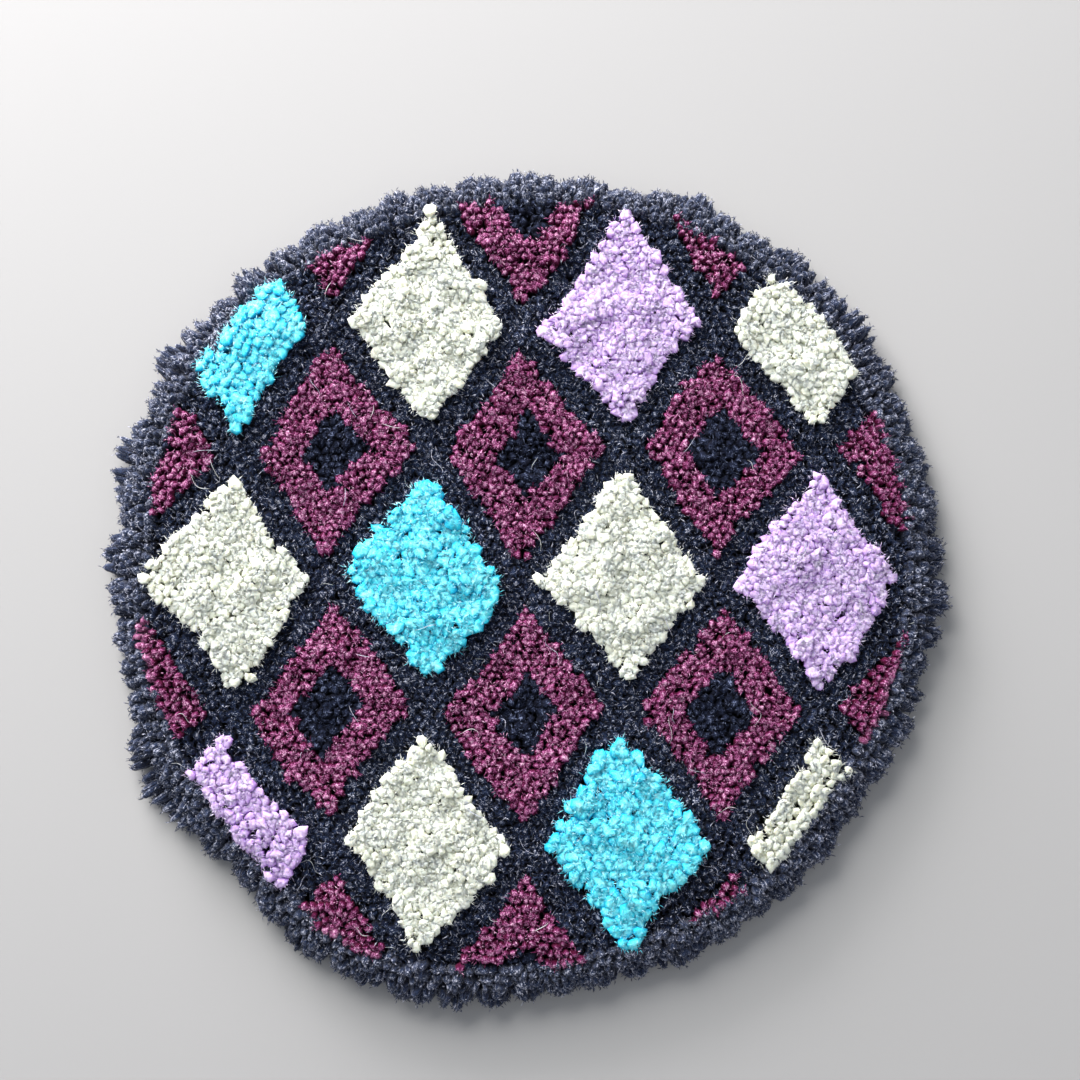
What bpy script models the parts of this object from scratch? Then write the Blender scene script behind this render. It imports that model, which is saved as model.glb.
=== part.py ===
"""A round table rug, tufted in yarn whose pile is cut short and thick.

The rug is one piece, so it is one solid: a slab of dense pile on a flat underside. Its top is
lumpy with the clumps that cut yarn ends make, its outline is as uneven as a rug trimmed by hand,
its pile rounds over at the rim, and two rows of yarn locks splay out there.
It lies on the plane z = 0 with its centre on the Z axis. +X is to the right and +Y is away from
the person who looks at it. Metres, +Z up.
"""

import math
import random

import bmesh
import bpy
from mathutils import Vector
from mathutils.geometry import delaunay_2d_cdt

MM = 0.001

# Height of the pile's top above the underside, in the middle of the rug.
PILE_TOP = 14.0 * MM
# A clump of yarn ends stands this much above or below its neighbours.
CLUMP_RELIEF = 1.2 * MM
# The whole top swells and dips this much, over hollows about this wide.
SWELL = 0.6 * MM
SWELL_WIDTH = 46.0 * MM
# Distance from one clump to the next.
CLUMP_PITCH = 8.2 * MM
# How many straight runs make up the outline.
SECTORS = 120
# The wall's clumps push it in and out this much.
WALL_RELIEF = 0.6 * MM

# The edge of the pile: its distance from the centre in mm, every 15 degrees anticlockwise. A row is
# the quarter between the two axes that name it.
OUTLINE = {
    "+X to +Y": (142.5, 144.0, 145.0, 147.5, 147.0, 145.5),
    "+Y to -X": (143.0, 144.0, 144.0, 145.0, 145.5, 143.0),
    "-X to -Y": (140.5, 142.0, 142.5, 140.0, 145.5, 145.0),
    "-Y to +X": (141.0, 138.5, 139.0, 138.0, 137.5, 139.5),
}
EDGE_RADII = [radius * MM for quarter in OUTLINE.values() for radius in quarter]

# The slab's cross-section at the rim, from the level top down to the flat underside: inset from the
# edge of the pile and height above the underside, in mm.
RIM_SECTION = (
    dict(inset=15.0, height=13.9),
    dict(inset=8.8, height=12.8),
    dict(inset=4.8, height=10.6),
    dict(inset=2.8, height=7.6),
    dict(inset=2.9, height=4.6),
    dict(inset=5.2, height=1.8),
    dict(inset=9.0, height=0.0),
)

# Two rows of locks. A lock starts inside the slab, swells at its belly and ends in a blunt tip.
LOCKS_IN_A_ROW = 74
# Each row: its root's inset from the edge of the pile and its height, its tip's height, all in mm,
# and the share of a step by which the row is turned.
LOCK_ROWS = {
    "crown": dict(inset=9.5, root=9.0, tip=9.8, turn=0.0),
    "skirt": dict(inset=9.5, root=4.2, tip=2.9, turn=0.5),
}
# Along a lock: the share of the way from root to tip, and half of its width there.
LOCK_SHAPE = (
    dict(share=0.0, half_width=2.2 * MM),
    dict(share=0.55, half_width=3.2 * MM),
    dict(share=0.82, half_width=2.7 * MM),
    dict(share=1.0, half_width=1.2 * MM),
)
# Each lock is this much narrower or wider than that.
LOCK_SCALES = (0.9, 1.08)
# Half of a lock's height, as a share of half of its width.
LOCK_FLATNESS = 0.68
# Tips end up to this far inside or outside the edge of the pile, and this far to either side.
TIP_SPREAD = 1.2 * MM
TIP_SWAY = 0.7 * MM
# No lock comes closer than this to the table.
TABLE_GAP = 0.5 * MM

# The few locks that stick out past the others: the bearing of each, in degrees, and how far its tip
# passes the edge of the pile, in mm. It is the lock of either row that lies this near the bearing.
LONG_LOCKS = (
    dict(bearing=39, reach=5.0),
    dict(bearing=65, reach=4.5),
    dict(bearing=107, reach=3.0),
    dict(bearing=131, reach=2.5),
    dict(bearing=148, reach=3.5),
    dict(bearing=163, reach=5.5),
    dict(bearing=177, reach=4.5),
    dict(bearing=206, reach=3.5),
    dict(bearing=211, reach=4.5),
    dict(bearing=262, reach=3.0),
    dict(bearing=356, reach=3.0),
)
NEAR_SHARE_OF_STEP = 0.25

YARN_COLOUR = (0.032, 0.036, 0.052, 1.0)
YARN_ROUGHNESS = 0.95
SMOOTH_ANGLE = math.radians(50)
# Points of the top that lie closer than this are one.
SAME_POINT = 1e-9
SEED = 7


def remove_everything():
    for thing in list(bpy.data.objects):
        bpy.data.objects.remove(thing)


def edge_radius(bearing):
    """Distance from the centre to the edge of the pile: a smooth closed curve through OUTLINE, a
    cubic between each two of its points whose slope there is that of their neighbours' chord."""
    step = 2 * math.pi / len(EDGE_RADII)
    place = (bearing % (2 * math.pi)) / step
    index = int(place)
    share = place - index
    before, start, end, after = (EDGE_RADII[(index + k) % len(EDGE_RADII)] for k in (-1, 0, 1, 2))
    return start + 0.5 * share * (
        end
        - before
        + share
        * (2 * before - 5 * start + 4 * end - after + share * (3 * (start - end) + after - before))
    )


def at(bearing, radius, height):
    return Vector((radius * math.cos(bearing), radius * math.sin(bearing), height))


def swell(x, y):
    """The slow rise and fall of the pile's top."""
    turn = math.pi / SWELL_WIDTH
    return SWELL * math.sin(turn * (x + 0.4 * y)) * math.cos(turn * (y - 0.3 * x) + 1.0)


def clump_centres(chance):
    """Points over the top of the slab, spread evenly by a sunflower spiral and lifted or sunk."""
    top_inset = RIM_SECTION[0]["inset"] * MM
    mean_edge = sum(EDGE_RADII) / len(EDGE_RADII) - top_inset
    count = round(math.pi * mean_edge**2 / CLUMP_PITCH**2)
    golden_turn = math.pi * (3 - math.sqrt(5))
    centres = []
    for n in range(count):
        bearing = n * golden_turn
        # The outermost clumps stop half a pitch short of the ring that closes the top.
        reach = edge_radius(bearing) - top_inset - CLUMP_PITCH / 2
        spot = at(bearing, reach * math.sqrt((n + 0.5) / count), 0.0)
        lift = swell(spot.x, spot.y) + chance.uniform(-CLUMP_RELIEF, CLUMP_RELIEF)
        spot.z = PILE_TOP + lift
        centres.append(spot)
    return centres


def rim_rings(chance):
    """The rings of points that the wall runs through, one for each row of RIM_SECTION."""
    rings = []
    for row in RIM_SECTION:
        flat_edge = row is RIM_SECTION[-1]
        ring = []
        for k in range(SECTORS):
            bearing = 2 * math.pi * k / SECTORS
            push = 0.0 if flat_edge else chance.uniform(-WALL_RELIEF, WALL_RELIEF)
            radius = edge_radius(bearing) - row["inset"] * MM + push
            ring.append(at(bearing, radius, row["height"] * MM))
        rings.append(ring)
    return rings


def build_slab(chance):
    """The pile as one closed mesh: the lumpy top, the wall and the flat underside."""
    rings = rim_rings(chance)
    spots = rings[0] + clump_centres(chance)
    outline_loop = list(range(SECTORS))
    flat_spots = [spot.to_2d() for spot in spots]
    inside_only = 1
    _, _, triangles, origins, _, _ = delaunay_2d_cdt(
        flat_spots, [], [outline_loop], inside_only, SAME_POINT
    )

    mesh = bmesh.new()
    corners = [mesh.verts.new(spots[sources[0]]) for sources in origins]
    for triangle in triangles:
        mesh.faces.new([corners[k] for k in triangle])
    corner_of = {sources[0]: corner for sources, corner in zip(origins, corners)}
    upper = [corner_of[k] for k in outline_loop]
    for ring in rings[1:]:
        lower = [mesh.verts.new(spot) for spot in ring]
        for k in range(SECTORS):
            after = (k + 1) % SECTORS
            mesh.faces.new((upper[k], lower[k], lower[after], upper[after]))
        upper = lower
    mesh.faces.new(list(reversed(upper)))
    bmesh.ops.recalc_face_normals(mesh, faces=mesh.faces)
    return mesh


def long_lock_reach(row_turn):
    """For the locks of one row, by number: how far the long ones pass the edge of the pile."""
    step = 360 / LOCKS_IN_A_ROW
    found = {}
    for lock in LONG_LOCKS:
        place = lock["bearing"] / step - row_turn
        if abs(place - round(place)) <= NEAR_SHARE_OF_STEP:
            found[round(place) % LOCKS_IN_A_ROW] = lock["reach"] * MM
    return found


def add_lock(mesh, root, tip, half_width_scale):
    """A four-sided lock of yarn from root to tip, as a closed tapered prism."""
    along = (tip - root).normalized()
    across = along.cross(Vector((0, 0, 1))).normalized()
    upward = across.cross(along).normalized()
    sections = []
    for place in LOCK_SHAPE:
        middle = root.lerp(tip, place["share"])
        wide = across * place["half_width"] * half_width_scale
        high = upward * place["half_width"] * half_width_scale * LOCK_FLATNESS
        spots = (middle + wide, middle + high, middle - wide, middle - high)
        sections.append([mesh.verts.new(spot) for spot in spots])
    for inner, outer in zip(sections, sections[1:]):
        for k in range(4):
            after = (k + 1) % 4
            mesh.faces.new((inner[k], inner[after], outer[after], outer[k]))
    mesh.faces.new(list(reversed(sections[0])))
    mesh.faces.new(sections[-1])


def build_locks(chance):
    """Both rows of locks as one mesh of separate closed prisms, none touching another."""
    mesh = bmesh.new()
    lowest_tip = TABLE_GAP + LOCK_SHAPE[-1]["half_width"]
    for row in LOCK_ROWS.values():
        long_ones = long_lock_reach(row["turn"])
        for k in range(LOCKS_IN_A_ROW):
            bearing = 2 * math.pi * (k + row["turn"]) / LOCKS_IN_A_ROW
            edge = edge_radius(bearing)
            reach = long_ones.get(k, chance.uniform(-TIP_SPREAD, TIP_SPREAD))
            sway = chance.uniform(-TIP_SWAY, TIP_SWAY) / edge
            rise = chance.uniform(-TIP_SWAY, TIP_SWAY)
            root = at(bearing, edge - row["inset"] * MM, row["root"] * MM)
            tip = at(bearing + sway, edge + reach, max(row["tip"] * MM + rise, lowest_tip))
            add_lock(mesh, root, tip, chance.uniform(*LOCK_SCALES))
    bmesh.ops.recalc_face_normals(mesh, faces=mesh.faces)
    return mesh


def as_object(name, mesh):
    data = bpy.data.meshes.new(name)
    mesh.to_mesh(data)
    mesh.free()
    thing = bpy.data.objects.new(name, data)
    bpy.context.scene.collection.objects.link(thing)
    return thing


def yarn_material():
    material = bpy.data.materials.new("charcoal_yarn")
    material.use_nodes = True
    shader = material.node_tree.nodes["Principled BSDF"]
    shader.inputs["Base Color"].default_value = YARN_COLOUR
    shader.inputs["Roughness"].default_value = YARN_ROUGHNESS
    shader.inputs["Metallic"].default_value = 0.0
    return material


def main():
    remove_everything()
    chance = random.Random(SEED)
    rug = as_object("table_rug", build_slab(chance))
    locks = as_object("lock_guide", build_locks(chance))
    locks.hide_render = True
    locks.display_type = "WIRE"
    union = rug.modifiers.new("locks", "BOOLEAN")
    union.operation = "UNION"
    union.solver = "EXACT"
    union.object = locks
    rug.data.materials.append(yarn_material())
    rug.data.shade_smooth()
    rug.data.set_sharp_from_angle(angle=SMOOTH_ANGLE)


main()
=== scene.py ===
"""The looks of a round table rug, hand-tufted in thick yarn whose loops are cut.

Every yarn end is its own small lock: it stands on the ground cloth, swells, and opens into a few
soft lobes at its cut tip. At the rim the locks splay out over the cloth's edge, down to the table.
Loose fibres stand off the locks. The pile shows a plain trellis of lozenges, a common old pattern.
The edge, the height of the pile and the reach of the rim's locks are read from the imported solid.
"""

import math

import bpy
import numpy as np
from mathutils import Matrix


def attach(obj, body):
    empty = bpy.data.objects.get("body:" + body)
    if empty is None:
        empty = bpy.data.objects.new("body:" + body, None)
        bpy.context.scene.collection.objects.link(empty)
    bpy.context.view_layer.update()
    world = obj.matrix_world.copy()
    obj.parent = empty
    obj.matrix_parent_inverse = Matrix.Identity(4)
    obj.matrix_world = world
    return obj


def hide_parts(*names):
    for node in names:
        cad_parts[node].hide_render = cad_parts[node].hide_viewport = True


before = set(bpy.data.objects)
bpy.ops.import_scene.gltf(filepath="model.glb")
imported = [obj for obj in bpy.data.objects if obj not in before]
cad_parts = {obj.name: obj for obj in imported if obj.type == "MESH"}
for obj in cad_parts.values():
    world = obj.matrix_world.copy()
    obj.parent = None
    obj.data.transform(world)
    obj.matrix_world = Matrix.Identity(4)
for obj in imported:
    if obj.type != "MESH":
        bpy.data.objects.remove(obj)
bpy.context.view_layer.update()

MM = 0.001
TURN = 2 * math.pi
RUG = "table_rug"

# The solid's flat underside ends this far inside the edge of the pile.
UNDERSIDE_INSET = 9.0 * MM
# The ground cloth, which the yarn is tufted through, and how far inside the pile's edge it ends.
CLOTH_THICKNESS = 1.3 * MM
CLOTH_INSET = 6.0 * MM
# The solid's corners below FLAT_BELOW lie on its flat underside, and those above TOP_ABOVE on its top.
# The top's clumps are smoothed over CLUMP_BLUR to give the pile's height.
FLAT_BELOW = 0.1 * MM
TOP_ABOVE = 11.5 * MM
CLUMP_BLUR = 2.6 * MM
# The solid's locks are in two rows. The first height parts them, and both end below the second.
ROWS_MEET, ROWS_END = 6.6 * MM, 13 * MM
# How far they reach is read in this many bins round the rug, and is never taken as further inside the
# edge than NO_LOCK_INSET. A long lock passes the edge by more than LONG_LOCK_START, and this share of
# what it has beyond that is added.
REACH_BINS = 150
NO_LOCK_INSET = 2.5 * MM
LONG_LOCK_START = 1.8 * MM
LONG_LOCK_SHARE = 0.35

# The trellis: a lozenge's width and height from corner to corner, and the width of its bars.
LOZENGE_WIDTH = 66.0 * MM
LOZENGE_HEIGHT = 88.0 * MM
BAR_WIDTH = 10.0 * MM
# A dark lozenge fills this share of the middle of each burgundy one.
HEART_SHARE = 0.36
# Hand-guided lines stray from straight ones by about this much.
STRAY = 2.0 * MM
# The plain band round the trellis, and how much its inner edge strays.
BAND_WIDTH = 14.0 * MM
BAND_STRAY = 3.0 * MM
# The colours of a row of light lozenges, in turn.
LIGHT_ROW = ("cream", "lilac", "cream", "aqua")

# Each yarn's ends start on a grid. Its pitch is the first share of their gap, and an end is nudged at
# random by up to the second share of the pitch. Then each end is given the third share of the gap as a
# radius of its own: in every step, ends that crowd move apart by SETTLING_RATE of what is missing.
GRID_SHARE, GRID_NUDGE, OWN_RADIUS = 0.95, 0.28, 0.515
SETTLING_STEPS, SETTLING_RATE = 16, 0.7
# About how far the tips rise and lean at random. Near the rim they also lean outwards, by up to
# OUTWARD_LEAN, which fades away over OUTWARD_WIDTH.
TIP_RISE, TIP_LEAN = 0.3 * MM, 0.5 * MM
OUTWARD_LEAN, OUTWARD_WIDTH = 2.2 * MM, 30 * MM
# Every lock is rooted at this height, inside the cloth.
ROOT_HEIGHT = CLOTH_THICKNESS * 0.7

# Rows of locks inside this distance from the edge run round the rug. Their gap is RIM_PITCH at this
# mean distance from the centre, and each lock has RIM_SIDES corners round it.
RIM_WIDTH = 14.5 * MM
RIM_PITCH = 3.0 * MM
RIM_ROOT_RADIUS = 137 * MM
RIM_SIDES = 7
# Each row of rim locks: inset of its root, inset of its tip and height of its tip, in mm.
RIM_ROWS = (
    dict(root=13.2, tip=11.6, height=13.6),
    dict(root=11.0, tip=8.6, height=13.1),
    dict(root=9.2, tip=5.6, height=12.0),
    dict(root=8.2, tip=2.4, height=10.2),
    dict(root=7.6, tip=0.4, height=8.0),
    dict(root=7.2, tip=-0.8, height=5.4),
    dict(root=7.0, tip=0.0, height=2.9),
)
# The rim's locks mat together in this many clumps. A lock's tip leans this share of its way to the
# middle of its clump, and at the clump's sides it ends this much sooner and lies this much lower.
RIM_CLUMPS = 60
CLUMP_PULL = 0.20
CLUMP_NOTCH = 2.0 * MM
CLUMP_DIP = 0.6 * MM
# At random, in mm: how far a clump is pushed out and up, and for each of its locks how far the root
# and the tip stray outwards, and how far the tip sways and rises.
RIM_SPREAD = dict(clump_out=0.8, clump_up=0.5, root=0.4, tip=0.3, sway=0.6, rise=0.5)
# A row whose tips end this many mm inside the edge follows neither the solid's locks nor the clumps.
FOLLOW_WIDTH = 10
# No rim lock has its tip lower than this.
LOWEST_TIP = 2.0 * MM
# No corner of a lock, and none of a fibre, comes nearer to the table than this.
LOCK_GAP, FIBRE_GAP = 0.3 * MM, 0.2 * MM

# For each yarn: the gap between ends, an end's girth as a share of that gap, how much its tip is
# raised above the mean pile, the depth of its rounded tip, the corners round it, and its loose
# fibres: how many each end has, their length and half of their thickness. Lengths are in mm.
YARNS = {
    "charcoal": dict(
        pitch=3.0, girth=0.60, lift=-2.0, dome=3.0, sides=6, fibres=13, fibre=2.8, half=0.16
    ),
    "burgundy": dict(
        pitch=2.6, girth=0.57, lift=-0.2, dome=2.6, sides=6, fibres=9, fibre=1.8, half=0.15
    ),
    "cream": dict(
        pitch=2.8, girth=0.71, lift=0.5, dome=1.4, sides=7, fibres=14, fibre=2.1, half=0.14
    ),
    "aqua": dict(
        pitch=3.5, girth=0.70, lift=0.7, dome=1.9, sides=8, fibres=22, fibre=2.4, half=0.15
    ),
    "lilac": dict(
        pitch=2.8, girth=0.71, lift=0.5, dome=1.45, sides=7, fibres=14, fibre=2.1, half=0.14
    ),
    "black": dict(
        pitch=3.0, girth=0.62, lift=-0.8, dome=3.2, sides=6, fibres=10, fibre=2.4, half=0.14
    ),
}

# Ends differ in girth by about the first share, and stay between the other two shares of it.
GIRTH_SPREAD, GIRTH_LIMITS = 0.16, (0.65, 1.4)
# How uneven an end is, in shares of its girth: the lobes, the oval and the roughness of its rings, and
# how much its lobes and its roughness lift them. Its twist is in radians.
UNEVEN = dict(lobes=0.14, oval=0.18, rough=0.08, lobe_lift=0.12, rough_lift=0.09, twist=0.7)

# A cut tip is marked 1, which falls to 0 this far below it. The materials turn a low mark into painted
# shade, darker down between the ends. The rim's locks show their flanks, so their mark starts higher,
# at their roots, and rises less: their bodies carry painted shade that lightens towards their tips.
SHADED_DEPTH = 1.9 * MM
RIM_ROOT_MARK, RIM_TIP_MARK = 0.35, 0.95
# The marks of a loose fibre: at its root, at the two corners of its middle and at its end. The low
# root mark is painted shade, and the marks above one paint the rest paler than the yarn's tips, a
# painted highlight.
FIBRE_MARKS = (0.6, 1.1, 1.1, 1.3)
# How the fibres lie in the field and at the rim: how many more an end has, the share of a lock below
# its tip where they start, how far they stand out, the least and most share of their length, and the
# least of their marks. The power FIBRE_SKEW draws starts to the tip, and marks to their least.
# The rim's higher least mark paints its fibres paler there, painted light on the rim.
FIBRE_LAY = {
    "field": dict(more=0, start=0.13, stand=(0.3, 1.0), length=(0.3, 1.4), marks=0.5),
    "rim": dict(more=6, start=0.60, stand=(0.2, 0.8), length=(0.3, 0.8), marks=0.68),
}
FIBRE_SKEW = 1.3
# Long hairs that lie loose on the pile: how many of each colour, their lengths, their radius and how
# high they arch. Then the least and most of their waves, in radians for the whole length, and of their
# swing, as a share of the length.
HAIRS = {"charcoal": 44, "cream": 40}
HAIR_LENGTHS = (4.0 * MM, 11.0 * MM)
HAIR_RADIUS = 0.11 * MM
HAIR_ARCH = 1.0 * MM
HAIR_WAVES = (2, 7)
HAIR_SWING = (0.06, 0.18)
# The pattern of bundles starts at random up to this far along each end's own strand.
STRAND_START = 40
random = np.random.default_rng(11)


def solid_points():
    """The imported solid's corners, as an array of points."""
    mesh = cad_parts[RUG].data
    flat = np.empty(len(mesh.vertices) * 3, np.float32)
    mesh.vertices.foreach_get("co", flat)
    return flat.reshape(-1, 3).astype(float)


SOLID = solid_points()


def unit(vectors):
    return vectors / np.linalg.norm(vectors, axis=-1, keepdims=True)


def edge_of_pile(bearing):
    """The edge's distance from the centre: the underside's rim, plus its inset, between its corners."""
    rim = SOLID[SOLID[:, 2] < FLAT_BELOW]
    bearings = np.arctan2(rim[:, 1], rim[:, 0])
    order = np.argsort(bearings)
    radii = np.hypot(rim[:, 0], rim[:, 1])[order] + UNDERSIDE_INSET
    return np.interp(bearing, bearings[order], radii, period=TURN)


def reach_of_solid(bearing, low, high):
    """How far the solid reaches at a bearing, between two heights: the most of its corners in each
    bin, as the mean of three bins, which are 18 mm of the rim, plus a share of what its long locks
    have beyond the others."""
    near = SOLID[(SOLID[:, 2] >= low) & (SOLID[:, 2] < high)]
    place = np.arctan2(near[:, 1], near[:, 0]) % TURN / TURN * REACH_BINS
    most = np.zeros(REACH_BINS)
    np.maximum.at(most, place.astype(int) % REACH_BINS, np.hypot(near[:, 0], near[:, 1]))
    middles = (np.arange(REACH_BINS) + 0.5) * TURN / REACH_BINS
    edge = edge_of_pile(middles)
    most = np.maximum(most, edge - NO_LOCK_INSET)
    mean = (np.roll(most, 1) + most + np.roll(most, -1)) / 3
    beyond = np.clip(most - edge - LONG_LOCK_START, 0, None)
    return np.interp(bearing, middles, mean + LONG_LOCK_SHARE * beyond, period=TURN)


def pile_height(spots):
    """Height of the solid's top: the mean of its clumps, each weighed by a bell of its distance."""
    top = SOLID[SOLID[:, 2] > TOP_ABOVE]
    heights = np.empty(len(spots))
    for part in np.array_split(np.arange(len(spots)), 12):
        gap = ((spots[part, None, :2] - top[None, :, :2]) ** 2).sum(2)
        weight = np.exp(-gap / (2 * CLUMP_BLUR**2)) + 1e-12
        heights[part] = (weight * top[:, 2]).sum(1) / weight.sum(1)
    return heights


def stray(x, y):
    """Two slow waves for each direction, which bend straight lines as a hand does."""
    turn = TURN / (90 * MM)
    dx = np.sin(turn * y * 1.3 + 0.6) + 0.6 * np.sin(turn * (x * 2.1 + y) + 2.0)
    dy = np.sin(turn * x * 1.1 + 1.9) + 0.6 * np.sin(turn * (y * 2.3 - x) + 0.3)
    return x + STRAY * 0.7 * dx, y + STRAY * 0.7 * dy


def yarn_at(x, y):
    """The yarn of each spot. Two sets of slanting lines part the rug into lozenges, whose bars are
    where a line is near. Rows of burgundy lozenges take turns with rows of light ones."""
    bearing = np.arctan2(y, x)
    inset = edge_of_pile(bearing) - np.hypot(x, y)
    x, y = stray(x, y)
    across = x / LOZENGE_WIDTH + y / LOZENGE_HEIGHT
    along = x / LOZENGE_WIDTH - y / LOZENGE_HEIGHT
    i, j = np.floor(across), np.floor(along)
    from_middle = np.maximum(abs(across - i - 0.5), abs(along - j - 0.5))
    bar_share = BAR_WIDTH / 2 * math.hypot(1 / LOZENGE_WIDTH, 1 / LOZENGE_HEIGHT)
    row = (i - j).astype(int)
    column = (i + j).astype(int)
    names = np.array(LIGHT_ROW)[((column // 2) + (row // 2)) % len(LIGHT_ROW)]
    heart = from_middle < HEART_SHARE / 2
    names = np.where(row % 2 == 1, np.where(heart, "black", "burgundy"), names)
    names = np.where(from_middle > 0.5 - bar_share, "charcoal", names)
    waves = np.sin(7 * bearing + 1.0) + 0.7 * np.sin(12 * bearing + 2.4)
    band = BAND_WIDTH + BAND_STRAY * waves / 1.7
    return np.where(inset < band, "charcoal", names)


def close_packed(pitch, half_width):
    """Points of a close-packed grid, nudged at random by up to GRID_NUDGE of its pitch."""
    rows = int(half_width / (pitch * math.sqrt(3) / 2)) + 1
    columns = int(half_width / pitch) + 1
    i, j = np.meshgrid(np.arange(-columns, columns + 1), np.arange(-rows, rows + 1))
    x = (i + 0.5 * (j % 2)) * pitch
    y = j * pitch * math.sqrt(3) / 2
    grid = np.stack([x.ravel(), y.ravel()], 1)
    return grid + random.uniform(-GRID_NUDGE, GRID_NUDGE, grid.shape) * pitch


def settle(spots, reaches):
    """Pushes crowding ends apart: of each pair that is nearer than its two reaches allow, both step
    back by half of what is missing. Ends are in order of x, so each meets only its next ones."""
    order = np.argsort(spots[:, 0])
    spots, reaches = spots[order], reaches[order]
    for _ in range(SETTLING_STEPS):
        push = np.zeros_like(spots)
        for step in range(1, 300):
            gap = spots[step:] - spots[:-step]
            if gap[:, 0].min() > 2.2 * reaches.max():
                break
            distance = np.hypot(gap[:, 0], gap[:, 1]) + 1e-9
            missing = np.clip(reaches[step:] + reaches[:-step] - distance, 0, None)
            move = gap / distance[:, None] * missing[:, None] * 0.5
            push[step:] += move
            push[:-step] -= move
        spots = spots + push * SETTLING_RATE
    back = np.empty_like(order)
    back[order] = np.arange(len(order))
    return spots[back]


def field_locks():
    """Roots and tips of the ends inside the rim's rows, with their yarn. Each yarn fills its parts of
    the trellis from a grid of its own, a little too close, and then the ends settle."""
    spots, names = [], []
    for name, yarn in YARNS.items():
        grid = close_packed(GRID_SHARE * yarn["pitch"] * MM, 150 * MM)
        bearing = np.arctan2(grid[:, 1], grid[:, 0])
        inside = np.hypot(grid[:, 0], grid[:, 1]) < edge_of_pile(bearing) - RIM_WIDTH
        kept = grid[inside & (yarn_at(grid[:, 0], grid[:, 1]) == name)]
        spots.append(kept)
        names.append(np.full(len(kept), name))
    spots, names = np.concatenate(spots), np.concatenate(names)
    spots = settle(spots, np.array([YARNS[n]["pitch"] for n in names]) * OWN_RADIUS * MM)
    lift = np.array([YARNS[n]["lift"] for n in names]) * MM
    top = pile_height(spots) + lift + random.normal(0, TIP_RISE, len(spots))
    bearing = np.arctan2(spots[:, 1], spots[:, 0])
    inset = edge_of_pile(bearing) - np.hypot(spots[:, 0], spots[:, 1])
    outward = np.clip(1 - (inset - RIM_WIDTH) / OUTWARD_WIDTH, 0, 1) ** 2 * OUTWARD_LEAN
    lean = random.normal(0, TIP_LEAN, spots.shape) + unit(spots) * outward[:, None]
    root = np.column_stack([spots, np.full(len(spots), ROOT_HEIGHT)])
    return root, np.column_stack([spots + lean, top]), names


def rim_locks():
    """Roots and tips of the rows that run round the rug. The lower a row, the further it splays. The
    tips follow the reach of the solid's own locks and lean together in clumps. A clump's width is its
    share of the turn, stretched by two sine waves, and its outline is a parabola."""
    roots, tips, names = [], [], []
    count = int(TURN * RIM_ROOT_RADIUS / RIM_PITCH)
    clump_size = TURN / RIM_CLUMPS
    spread = {key: value * MM for key, value in RIM_SPREAD.items()}
    pushes_out = random.normal(0, spread["clump_out"], RIM_CLUMPS)
    pushes_up = random.normal(0, spread["clump_up"], RIM_CLUMPS)
    for number, row in enumerate(RIM_ROWS):
        steps = np.arange(count) + random.uniform(-0.4, 0.4, count) + 0.5 * (number % 2)
        bearing = steps * TURN / count
        edge = edge_of_pile(bearing)
        upper = row["height"] * MM > ROWS_MEET
        low, high = (ROWS_MEET, ROWS_END) if upper else (0, ROWS_MEET)
        follow = np.clip(1 - row["tip"] / FOLLOW_WIDTH, 0, 1) ** 1.5
        stretch = 0.30 * np.sin(5 * bearing + 1.0) + 0.16 * np.sin(9 * bearing + 2.0)
        clump = bearing / clump_size + stretch
        off_middle = clump - np.round(clump)
        which = np.round(clump).astype(int) % RIM_CLUMPS
        push_out = pushes_out[which] - CLUMP_NOTCH * (2 * abs(off_middle)) ** 2
        push_up = pushes_up[which]
        root_radius = edge - row["root"] * MM + random.normal(0, spread["root"], count)
        reach = (reach_of_solid(bearing, low, high) - edge + push_out) * follow
        tip_radius = edge - row["tip"] * MM + reach + random.normal(0, spread["tip"], count)
        pull = -off_middle * clump_size * CLUMP_PULL * follow
        sway = pull + random.normal(0, spread["sway"], count) / edge
        lift = (push_up - CLUMP_DIP * (2 * abs(off_middle)) ** 2) * follow
        height = row["height"] * MM + lift + random.normal(0, spread["rise"], count)
        height = np.maximum(height, LOWEST_TIP)
        root = np.stack([np.cos(bearing), np.sin(bearing)], 1) * root_radius[:, None]
        tip = np.stack([np.cos(bearing + sway), np.sin(bearing + sway)], 1) * tip_radius[:, None]
        roots.append(np.column_stack([root, np.full(count, ROOT_HEIGHT)]))
        tips.append(np.column_stack([tip, height]))
        names.append(yarn_at(root[:, 0], root[:, 1]))
    return np.concatenate(roots), np.concatenate(tips), np.concatenate(names)


def middle_line(root, tip, share):
    """Where a lock's middle line is at a share of its length, and which way it runs there. It rises
    from the root and bends to the tip: a parabola drawn by root, knee and tip."""
    knee = root + (tip - root) * np.array([0.15, 0.15, 0.75])
    place = (1 - share) ** 2 * root + 2 * share * (1 - share) * knee + share**2 * tip
    ahead = unit(2 * (1 - share) * (knee - root) + 2 * share * (tip - knee))
    return place, ahead


def across_line(root, tip):
    """A level direction at right angles to the way each lock leans."""
    lean = tip[:, :2] - root[:, :2] + 1e-7
    return unit(np.column_stack([-lean[:, 1], lean[:, 0], np.zeros(len(lean))]))


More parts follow.
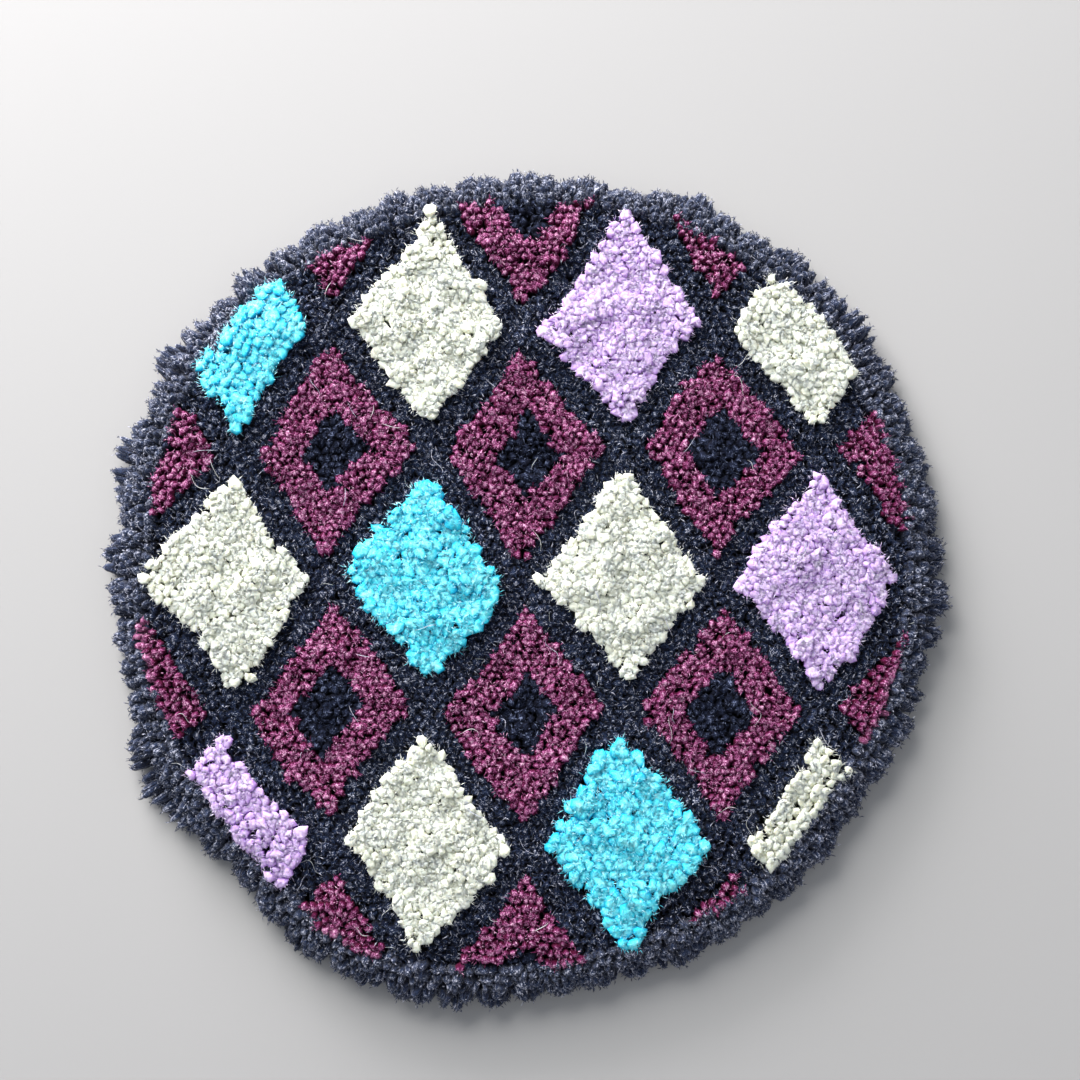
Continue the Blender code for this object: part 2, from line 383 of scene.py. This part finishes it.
def make_mesh(name, points, faces, values):
    """A mesh object from arrays: points, lists of faces by their number of corners, and for each
    attribute one number or one vector per point."""
    mesh = bpy.data.meshes.new(name)
    sizes = np.concatenate([np.full(len(f), f.shape[1]) for f in faces]).astype(np.int32)
    corners = np.concatenate([f.ravel() for f in faces]).astype(np.int32)
    mesh.vertices.add(len(points))
    mesh.vertices.foreach_set("co", points.astype(np.float32).ravel())
    mesh.loops.add(len(corners))
    mesh.loops.foreach_set("vertex_index", corners)
    mesh.polygons.add(len(sizes))
    mesh.polygons.foreach_set("loop_start", (np.cumsum(sizes) - sizes).astype(np.int32))
    for key, value in values.items():
        kind, field = ("FLOAT", "value") if value.ndim == 1 else ("FLOAT_VECTOR", "vector")
        attribute = mesh.attributes.new(key, kind, "POINT")
        attribute.data.foreach_set(field, value.astype(np.float32).ravel())
    mesh.update(calc_edges=True)
    mesh.validate()
    mesh.shade_smooth()
    piece = bpy.data.objects.new(name, mesh)
    bpy.context.scene.collection.objects.link(piece)
    return piece


def lock_form(yarn, length, at_rim):
    """A lock's shape: shares of its length, and its girth at each as a share of its widest. It starts
    from a point, where the cloth holds it."""
    if at_rim:
        return np.array([0.0, 0.40, 0.72, 0.92, 1.0]), np.array([0.0, 1.0, 0.95, 0.60, 0.0])
    dome = yarn["dome"] * MM / length
    shares = np.array([0.0, 1 - dome, 1 - 0.50 * dome, 1 - 0.16 * dome, 1.0])
    profile = np.array([0.0, 1.0, 0.90, 0.58, 0.0])
    if yarn["sides"] > 6:
        # A plump end has one ring more, which rounds its top.
        shares = np.insert(shares, 4, 1 - 0.03 * dome)
        profile = np.insert(profile, 4, 0.28)
    return shares, profile


def lock_girths(yarn, count, at_rim):
    pitch = RIM_PITCH if at_rim else yarn["pitch"] * MM
    return yarn["girth"] * pitch * random.normal(1, GIRTH_SPREAD, count).clip(*GIRTH_LIMITS)


def painted_shading_mark(along, length, at_rim):
    """How near a point is to its lock's cut tip, as the materials read it: they paint shade where it is
    low and light where it is high. In the field it is one less the depth over SHADED_DEPTH, and at the
    rim it rises with the cube of the share."""
    if at_rim:
        return RIM_ROOT_MARK + (RIM_TIP_MARK - RIM_ROOT_MARK) * along**3
    return np.clip(1 - (1 - along) * length / SHADED_DEPTH, 0, 1)


def add_locks(name, root, tip, yarn, at_rim):
    """One mesh of closed locks. Round each middle line run rings of corners, between a point at the
    root and one at the tip. A ring's radius is the girth times a profile that swells and closes,
    times one plus an oval, three lobes that turn along the lock and a random share."""
    count, sides = len(root), RIM_SIDES if at_rim else yarn["sides"]
    mean_length = np.linalg.norm(tip - root, axis=1).mean()
    shares, profile = lock_form(yarn, mean_length, at_rim)
    girth = lock_girths(yarn, count, at_rim)[:, None, None]
    middle, ahead = middle_line(root[:, None], tip[:, None], shares[None, :, None])
    side = np.broadcast_to(across_line(root, tip)[:, None], ahead.shape)
    up = np.cross(ahead, side)
    turn = np.arange(sides) * TURN / sides
    start = random.uniform(0, TURN, (count, 1, 1))
    twist = shares[None, :, None] * random.normal(0, UNEVEN["twist"], (count, 1, 1))
    lobes = np.cos(3 * turn[None, None] + start + 3 * twist)
    oval = np.cos(2 * turn[None, None] + random.uniform(0, TURN, (count, 1, 1)))
    near_tip = np.clip((shares - 0.5) * 2, 0, 1)[None, :, None]
    rough = random.normal(0, UNEVEN["rough"], (count, len(shares), sides))
    form = 1 + UNEVEN["lobes"] * near_tip * lobes + UNEVEN["oval"] * oval + rough
    radius = girth * profile[None, :, None] * form
    rough_lift = random.normal(0, UNEVEN["rough_lift"], rough.shape)
    lump = girth * (UNEVEN["lobe_lift"] * lobes + rough_lift) * near_tip
    around = turn[None, None] + start
    ring = middle[:, :, None] + lump[..., None] * ahead[:, :, None]
    ring = ring + (radius * np.cos(around))[..., None] * side[:, :, None]
    ring = ring + (radius * np.sin(around))[..., None] * up[:, :, None]
    belly = ring[:, 1:-1].reshape(count, -1, 3)
    points = np.concatenate([middle[:, :1], belly, middle[:, -1:]], axis=1)
    points[..., 2] = np.maximum(points[..., 2], LOCK_GAP)

    # A lock's corners are the root's, then each ring's from the lowest up, then the tip's.
    rings = len(shares) - 2
    k = np.arange(sides)
    after = (k + 1) % sides
    low = 1 + (np.arange(rings - 1) * sides)[:, None]
    wall = np.stack([low + k, low + after, low + sides + after, low + sides + k], 2).reshape(-1, 4)
    last = 1 + (rings - 1) * sides
    top = np.stack([last + k, last + after, np.full(sides, last + sides)], 1)
    base = np.stack([1 + after, 1 + k, np.zeros(sides, int)], 1)
    first = (np.arange(count) * (rings * sides + 2))[:, None, None]
    faces = [(f[None] + first).reshape(-1, f.shape[1]) for f in (wall, np.concatenate([top, base]))]

    along = np.concatenate([[0.0], np.repeat(shares[1:-1], sides), [1.0]])
    # The mark paints shade down between the ends and light at the cut tips.
    mark = painted_shading_mark(along, mean_length, at_rim)
    # The strand runs round the lock as a circle and along it, from a start of its own.
    strand = np.zeros((count, len(along), 3))
    strand[:, 1:-1, 0] = np.cos(around).repeat(rings, axis=1).reshape(count, -1)
    strand[:, 1:-1, 1] = np.sin(around).repeat(rings, axis=1).reshape(count, -1)
    strand[:, :, 2] = random.uniform(0, STRAND_START, (count, 1)) + 0.5 * along
    values = {
        "tip": np.broadcast_to(mark, (count, len(along))).ravel(),
        "shade": np.repeat(random.uniform(0, 1, count), len(along)),
        "strand": strand.reshape(-1, 3),
    }
    return make_mesh(name, points.reshape(-1, 3), faces, values)


def add_fibres(name, root, tip, yarn, at_rim):
    """One mesh of loose fibres, each a thin closed spindle of four faces: a point in the lock, two
    corners beside its middle and a point at its free end. A fibre starts on its lock's surface, near
    the tip, and runs outwards and ahead at random. At the rim it is shorter and lies closer."""
    shares, profile = lock_form(yarn, np.linalg.norm(tip - root, axis=1).mean(), at_rim)
    lay = FIBRE_LAY["rim" if at_rim else "field"]
    each = yarn["fibres"] + lay["more"]
    root, tip = np.repeat(root, each, axis=0), np.repeat(tip, each, axis=0)
    count = len(root)
    share = 1 - random.uniform(0, 1, count) ** FIBRE_SKEW * lay["start"]
    middle, ahead = middle_line(root, tip, share[:, None])
    side = across_line(root, tip)
    around = random.uniform(0, TURN, (count, 1))
    outward = np.cos(around) * side + np.sin(around) * np.cross(ahead, side)
    girth = yarn["girth"] * (RIM_PITCH if at_rim else yarn["pitch"] * MM)
    radius = np.interp(share, shares, profile) * girth * 0.8
    anchor = middle + outward * radius[:, None]
    forward = random.uniform(0, 0.8, (count, 1))
    stand = random.uniform(*lay["stand"], (count, 1))
    way = unit(outward * stand + ahead * forward + random.normal(0, 0.4, (count, 3)))
    length = yarn["fibre"] * MM * random.uniform(*lay["length"], (count, 1))
    half = yarn["half"] * MM * random.uniform(0.7, 1.2, (count, 1))
    first_side = unit(np.cross(way, random.normal(0, 1, (count, 3))))
    second_side = np.cross(way, first_side)
    waist = anchor + way * length * 0.5 + second_side * half * random.uniform(1, 2.4, (count, 1))
    points = np.stack(
        [anchor, waist + first_side * half, waist - first_side * half, anchor + way * length], axis=1
    )
    points[..., 2] = np.maximum(points[..., 2], FIBRE_GAP)
    spindle = np.array([[0, 1, 2], [3, 2, 1], [0, 3, 1], [0, 2, 3]])
    faces = [(spindle[None] + (np.arange(count) * 4)[:, None, None]).reshape(-1, 3)]
    # The marks, scaled by a random brightness of each fibre's own, paint its root in shade and its free
    # end with a painted highlight.
    least = lay["marks"]
    bright = least + (1 - least) * random.uniform(0, 1, (count, 1)) ** FIBRE_SKEW
    values = {
        "tip": (np.array(FIBRE_MARKS) * bright).ravel(),
        "shade": np.repeat(random.uniform(0, 1, count), 4),
        "strand": np.repeat(random.uniform(0, STRAND_START, (count, 3)), 4, axis=0),
    }
    return make_mesh(name, points.reshape(-1, 3), faces, values)


def add_hairs(name, start):
    """Long loose hairs, each a closed tube of three sides. A hair's line runs straight on the level,
    plus a sine wave to its sides, plus a low arch over the ends of the pile."""
    count, steps, sides = len(start), 12, 3
    share = np.linspace(0, 1, steps)[None, :, None]
    bearing, phase = random.uniform(0, TURN, (2, count, 1, 1))
    level = np.zeros_like(bearing)
    ahead = np.concatenate([np.cos(bearing), np.sin(bearing), level], axis=2)
    side = np.concatenate([-np.sin(bearing), np.cos(bearing), level], axis=2)
    up = np.array([0.0, 0.0, 1.0])
    length = random.uniform(*HAIR_LENGTHS, (count, 1, 1))
    wave = np.sin(random.uniform(*HAIR_WAVES, (count, 1, 1)) * share + phase) - np.sin(phase)
    swing = wave * length * random.uniform(*HAIR_SWING, (count, 1, 1))
    arch = (0.2 + np.sin(math.pi * share)) * HAIR_ARCH
    line = start[:, None] + ahead * length * share + side * swing + up * arch
    radius = HAIR_RADIUS * (1.1 - (2 * share - 1) ** 4)
    corner = (np.arange(sides) * TURN / sides)[:, None]
    around = np.cos(corner) * side[:, :, None] + np.sin(corner) * up
    points = (line[:, :, None] + radius[..., None] * around).reshape(-1, 3)
    k = np.arange(sides)
    after = (k + 1) % sides
    low = (np.arange(steps - 1) * sides)[:, None]
    wall = np.stack([low + k, low + after, low + sides + after, low + sides + k], 2).reshape(-1, 4)
    ends = np.stack([k[::-1], k + (steps - 1) * sides])
    first = (np.arange(count) * steps * sides)[:, None, None]
    faces = [(f[None] + first).reshape(-1, f.shape[1]) for f in (wall, ends)]
    each = steps * sides
    # Each hair has the mark of a fibre's end, which paints it with the fibres' painted highlight.
    values = {
        "tip": np.full(count * each, FIBRE_MARKS[-1]),
        "shade": np.repeat(random.uniform(0, 1, count), each),
        "strand": np.repeat(random.uniform(0, STRAND_START, (count, 3)), each, axis=0),
    }
    return make_mesh(name, points, faces, values)


def to_linear(code):
    """An sRGB hex colour as linear red, green, blue and a full alpha."""
    parts = [int(code[k : k + 2], 16) / 255 for k in (1, 3, 5)]
    return tuple(p / 12.92 if p <= 0.04045 else ((p + 0.055) / 1.055) ** 2.4 for p in parts) + (1.0,)


def add_node(tree, kind, settings=None, links=None):
    """Adds a node, sets its properties and its inputs' values, and links its inputs."""
    node = tree.nodes.new(kind)
    for key, value in (settings or {}).items():
        if isinstance(key, int) or key in node.inputs:
            node.inputs[key].default_value = value
        else:
            setattr(node, key, value)
    for key, source in (links or {}).items():
        tree.links.new(source, node.inputs[key])
    return node


# Each yarn's four colours: deep between its ends and side on their flanks, darker than the yarn as
# painted shade that falls into the gaps; tip at their cut tips; and fibre, paler than the yarn, a
# painted highlight on fibres in the light.
COLOURS = {
    "charcoal": dict(deep="#01030f", side="#08122b", tip="#283856", fibre="#c4c5d2"),
    "burgundy": dict(deep="#4c0026", side="#5e083e", tip="#bf699d", fibre="#f4c2dc"),
    "cream": dict(deep="#cfd2b8", side="#dfe0cb", tip="#e2e4d1", fibre="#e8ead7"),
    "aqua": dict(deep="#0094c2", side="#30cce5", tip="#7af0fc", fibre="#acf9fe"),
    "lilac": dict(deep="#8f68b2", side="#bd97d6", tip="#dabfe6", fibre="#ecd8f1"),
    "black": dict(deep="#000112", side="#070b1c", tip="#1f273e", fibre="#7a839f"),
}
# The paleness at which a yarn has each of its four colours.
PALENESS = dict(deep=0.12, side=0.46, tip=0.78, fibre=0.98)
# How strongly each yarn is speckled, and the strength of its sheen.
SPECKLE = dict(charcoal=1.3, burgundy=1.5, cream=0.4, aqua=0.45, lilac=0.45, black=1.0)
SHEEN = dict(charcoal=0.08, burgundy=0.02, cream=0.05, aqua=0.05, lilac=0.05, black=0.03)
RIM_SHEEN = 0.46
# The share of the light that soaks into each yarn and comes out beside where it went in, which is
# about this far off. Pale fibres pass light on and dark ones swallow it.
SOAKING = dict(charcoal=0.0, burgundy=0.0, cream=0.9, aqua=0.7, lilac=0.8, black=0.0)
SOAKING_DEPTH = 2.0 * MM


def cut_yarn(name, at_rim):
    """Thick acrylic knitting yarn, spun, tufted and cut. It is matt and soft: darkened between the ends
    by painted shade, pale at the cut tips, with a painted highlight on its loose fibres, streaked by
    bundles of fibres, and it lights up where it is seen aslant. At the rim it is brushed out, so that
    its loose fibres, painted paler there, light up."""
    colours = COLOURS[name]
    kind = "brushed" if at_rim else "cut"
    material = bpy.data.materials.new(f"{kind}_acrylic_yarn_{name}")
    material.use_nodes = True
    tree = material.node_tree
    shader = tree.nodes["Principled BSDF"]
    tip = add_node(tree, "ShaderNodeAttribute", {"attribute_name": "tip"})
    shade = add_node(tree, "ShaderNodeAttribute", {"attribute_name": "shade"})
    strand = add_node(tree, "ShaderNodeAttribute", {"attribute_name": "strand"})
    place = add_node(tree, "ShaderNodeTexCoord")
    # Bundles of fibres run along each end, about sixteen round it: one for each 0.6 to 0.9 mm.
    bundles = add_node(
        tree,
        "ShaderNodeTexNoise",
        {"Scale": 2.6, "Detail": 2.0, "Roughness": 0.6},
        {"Vector": strand.outputs["Vector"]},
    )
    # Tufts of nap, from about 1 mm across down to 0.2 mm.
    nap = add_node(
        tree,
        "ShaderNodeTexNoise",
        {"Scale": 1 / (1.0 * MM), "Detail": 3.0, "Roughness": 0.75},
        {"Vector": place.outputs["Object"]},
    )
    rough = add_node(
        tree,
        "ShaderNodeMath",
        {"operation": "ADD"},
        {0: bundles.outputs["Fac"], 1: nap.outputs["Fac"]},
    )
    # Paleness is 0.7 times the mark of the tip, plus 0.2 times the end's own shade, plus the
    # speckle: its strength times the roughness about its mean of one. Through the mark it carries
    # painted shade between the ends and painted highlights on the fibres.
    paleness = add_node(
        tree,
        "ShaderNodeMath",
        {"operation": "MULTIPLY_ADD", 1: SPECKLE[name], 2: -SPECKLE[name]},
        {0: rough.outputs[0]},
    )
    paleness = add_node(
        tree,
        "ShaderNodeMath",
        {"operation": "MULTIPLY_ADD", 1: 0.20},
        {0: shade.outputs["Fac"], 2: paleness.outputs[0]},
    )
    paleness = add_node(
        tree,
        "ShaderNodeMath",
        {"operation": "MULTIPLY_ADD", 1: 0.70},
        {0: tip.outputs["Fac"], 2: paleness.outputs[0]},
    )
    ramp = add_node(tree, "ShaderNodeValToRGB", {}, {"Fac": paleness.outputs[0]})
    stops = ramp.color_ramp.elements
    stops[0].position, stops[1].position = PALENESS["deep"], PALENESS["fibre"]
    stops[0].color, stops[1].color = to_linear(colours["deep"]), to_linear(colours["fibre"])
    for part in ("side", "tip"):
        stop = stops.new(PALENESS[part])
        stop.color = to_linear(colours[part])
    bump = add_node(
        tree,
        "ShaderNodeBump",
        {"Strength": min(1.0, 0.7 * SPECKLE[name]), "Distance": 1.1 * MM},
        {"Height": rough.outputs[0]},
    )
    tree.links.new(ramp.outputs["Color"], shader.inputs["Base Color"])
    tree.links.new(bump.outputs["Normal"], shader.inputs["Normal"])
    shader.inputs["Roughness"].default_value = 0.9
    shader.inputs["Specular IOR Level"].default_value = 0.2
    shader.inputs["Sheen Weight"].default_value = RIM_SHEEN if at_rim else SHEEN[name]
    shader.inputs["Sheen Roughness"].default_value = 0.5
    shader.inputs["Sheen Tint"].default_value = to_linear(colours["fibre"])
    shader.inputs["Subsurface Weight"].default_value = SOAKING[name]
    shader.inputs["Subsurface Radius"].default_value = (1.0, 0.9, 0.8)
    shader.inputs["Subsurface Scale"].default_value = SOAKING_DEPTH
    return material


def ground_material():
    """Woven polyester-cotton cloth, dark grey and plain, with its threads about 1 mm apart."""
    material = bpy.data.materials.new("woven_polycotton_ground_cloth")
    material.use_nodes = True
    tree = material.node_tree
    shader = tree.nodes["Principled BSDF"]
    place = add_node(tree, "ShaderNodeTexCoord")
    threads = [
        add_node(
            tree,
            "ShaderNodeTexWave",
            {"bands_direction": direction, "Scale": 1 / (3.2 * MM), "Distortion": 0.4},
            {"Vector": place.outputs["Object"]},
        )
        for direction in ("X", "Y")
    ]
    weave = add_node(
        tree,
        "ShaderNodeMath",
        {"operation": "MULTIPLY"},
        {0: threads[0].outputs["Fac"], 1: threads[1].outputs["Fac"]},
    )
    ramp = add_node(tree, "ShaderNodeValToRGB", {}, {"Fac": weave.outputs[0]})
    ramp.color_ramp.elements[0].color = to_linear("#2a2a2e")
    ramp.color_ramp.elements[1].color = to_linear("#4c4c52")
    bump = add_node(
        tree,
        "ShaderNodeBump",
        {"Strength": 0.7, "Distance": 0.3 * MM},
        {"Height": weave.outputs[0]},
    )
    tree.links.new(ramp.outputs["Color"], shader.inputs["Base Color"])
    tree.links.new(bump.outputs["Normal"], shader.inputs["Normal"])
    shader.inputs["Roughness"].default_value = 0.9
    return material


def ground_cloth():
    """A thin closed disc in the outline's shape: rings of points scaled towards the centre, once for
    the upper face and once for the lower. Also gives its flat size and area."""
    count = 180
    bearing = np.arange(count) * TURN / count
    edge = edge_of_pile(bearing) - CLOTH_INSET
    scales = np.array([0.04, 0.2, 0.4, 0.6, 0.8, 1.0])
    flat = np.stack([np.cos(bearing), np.sin(bearing)], 1) * edge[:, None]
    levels = [
        np.column_stack([flat * scale, np.full(count, height)])
        for height, order in ((CLOTH_THICKNESS, scales), (0.0, scales[::-1]))
        for scale in order
    ]
    k = np.arange(count)
    after = (k + 1) % count
    low = (np.arange(len(levels) - 1) * count)[:, None]
    walls = np.stack([low + k, low + count + k, low + count + after, low + after], 2)
    middle = len(levels) * count
    last = (len(levels) - 1) * count
    caps = [
        np.stack([np.full(count, middle), k, after], 1),
        np.stack([np.full(count, middle + 1), last + after, last + k], 1),
    ]
    points = np.concatenate([*levels, [[0, 0, CLOTH_THICKNESS], [0, 0, 0]]])
    cloth = make_mesh("ground_cloth", points, [walls.reshape(-1, 4), np.concatenate(caps)], {})
    cloth.data.set_sharp_from_angle(angle=math.radians(40))
    cloth.data.materials.append(ground_material())
    after = np.roll(flat, -1, axis=0)
    area = 0.5 * np.sum(flat[:, 0] * after[:, 1] - flat[:, 1] * after[:, 0])
    return cloth, flat.max(0) - flat.min(0), area


def build_pile():
    """The pile, one piece for each yarn's locks and one for its fibres, with the rim's apart."""
    made = []
    field = field_locks()
    for where, (root, tip, names) in (("field", field), ("rim", rim_locks())):
        for name, yarn in YARNS.items():
            mine = names == name
            if not mine.any():
                continue
            for kind, maker in (("pile", add_locks), ("fibres", add_fibres)):
                title = f"{name}_{where}_{kind}"
                piece = maker(title, root[mine], tip[mine], yarn, where == "rim")
                made.append((piece, name, where == "rim"))
    for name, count in HAIRS.items():
        made.append((add_hairs(f"{name}_hairs", random.choice(field[1], count)), name, False))
    materials = {}
    for piece, name, at_rim in made:
        if (name, at_rim) not in materials:
            materials[name, at_rim] = cut_yarn(name, at_rim)
        piece.data.materials.append(materials[name, at_rim])
    return [piece for piece, _, _ in made]


def add_camera():
    """A camera nearly above the rug, which sees a square frame_width wide at the rug's height."""
    elevation = math.radians(84)
    lens, sensor, frame_width = 60.0, 36.0, 369.0 * MM
    aim = np.array([5.1 * MM, 14.2 * MM, 7.0 * MM])
    distance = frame_width / sensor * lens
    data = bpy.data.cameras.new("camera")
    data.lens, data.sensor_width = lens, sensor
    camera = bpy.data.objects.new("camera", data)
    camera.location = aim + distance * np.array([0, -math.cos(elevation), math.sin(elevation)])
    camera.rotation_euler = (math.pi / 2 - elevation, 0, 0)
    bpy.context.scene.collection.objects.link(camera)
    bpy.context.scene.camera = camera


def add_area_light(name, place, size, power, colour):
    data = bpy.data.lights.new(name, "AREA")
    data.size, data.energy, data.color = size, power, to_linear(colour)[:3]
    light = bpy.data.objects.new(name, data)
    light.location = place
    light.rotation_euler = light.location.normalized().to_track_quat("Z", "Y").to_euler()
    bpy.context.scene.collection.objects.link(light)


def add_stage():
    """A plain pale floor, soft light from beyond the rug and its left, both high up and low down, a
    weak fill from the other side, and a pale sky."""
    data = bpy.data.meshes.new("floor")
    half = 3.0
    corners = [(-half, -half, 0), (half, -half, 0), (half, half, 0), (-half, half, 0)]
    data.from_pydata(corners, [], [(0, 1, 2, 3)])
    floor = bpy.data.objects.new("floor", data)
    floor.location.z = -0.0002
    bpy.context.scene.collection.objects.link(floor)
    paint = bpy.data.materials.new("pale_matt_paint")
    paint.use_nodes = True
    shader = paint.node_tree.nodes["Principled BSDF"]
    shader.inputs["Base Color"].default_value = to_linear("#a3a19e")
    shader.inputs["Roughness"].default_value = 0.8
    data.materials.append(paint)
    add_area_light("window", (-0.62, 1.10, 0.92), 1.1, 42.0, "#ffffff")
    add_area_light("window_sill", (-0.56, 1.20, 0.32), 0.6, 37.0, "#f6f4fa")
    add_area_light("fill", (0.7, -0.5, 0.9), 0.9, 1.0, "#fff6ec")
    world = bpy.data.worlds.new("sky")
    world.use_nodes = True
    sky = world.node_tree.nodes["Background"]
    sky.inputs["Color"].default_value = to_linear("#e2eaf8")
    sky.inputs["Strength"].default_value = 0.58
    bpy.context.scene.world = world
    bpy.context.scene.view_settings.view_transform = "Standard"


pile = build_pile()
cloth, cloth_size, cloth_area = ground_cloth()
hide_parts(RUG)
for piece in [cloth, *pile]:
    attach(piece, "root")
add_camera()
add_stage()
